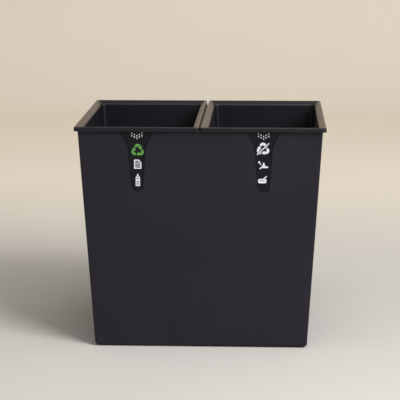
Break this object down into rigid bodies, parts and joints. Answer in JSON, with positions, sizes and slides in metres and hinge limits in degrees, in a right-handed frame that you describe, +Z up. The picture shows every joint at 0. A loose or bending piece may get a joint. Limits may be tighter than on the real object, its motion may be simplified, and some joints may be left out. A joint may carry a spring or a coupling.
{
  "type": "double recycling bin",
  "caption": "Drafted box-shaped recycling bin whose outer shell carries lift-out liners side by side under sloping funnel rims, with funnel-shaped label recesses in front.",
  "frame": {"origin": "on the floor, under the middle of the bin", "axes": "+X to the user's right along the width of both liners, +Y to the back, +Z up"},
  "size_m": [0.42, 0.353, 0.385],
  "materials": {
    "shell_plastic": "fine matte moulded texture, near black",
    "liner_plastic": "satin moulded plastic, near black, with a light sheen on the sloping rim",
    "rail_plastic": "matte moulded plastic, near black",
    "label_film": "smooth printed label film, near black",
    "foot_rubber": "matte black rubber"
  },
  "bodies": {
    "shell": {"outer_shell": "shell_plastic", "divider_rail": "rail_plastic", "label_left": "label_film", "label_right": "label_film", "foot_front_left": "foot_rubber", "foot_front_right": "foot_rubber", "foot_back_left": "foot_rubber", "foot_back_right": "foot_rubber"},
    "left_liner": {"liner_left": "liner_plastic"},
    "right_liner": {"liner_right": "liner_plastic"}
  },
  "joints": [
    {"name": "left_liner_lift", "type": "slide", "parent": "shell", "child": "left_liner", "axis": [0, 0, 1], "range_m": [0, 0.39]},
    {"name": "right_liner_lift", "type": "slide", "parent": "shell", "child": "right_liner", "axis": [0, 0, 1], "range_m": [0, 0.39]}
  ]
}
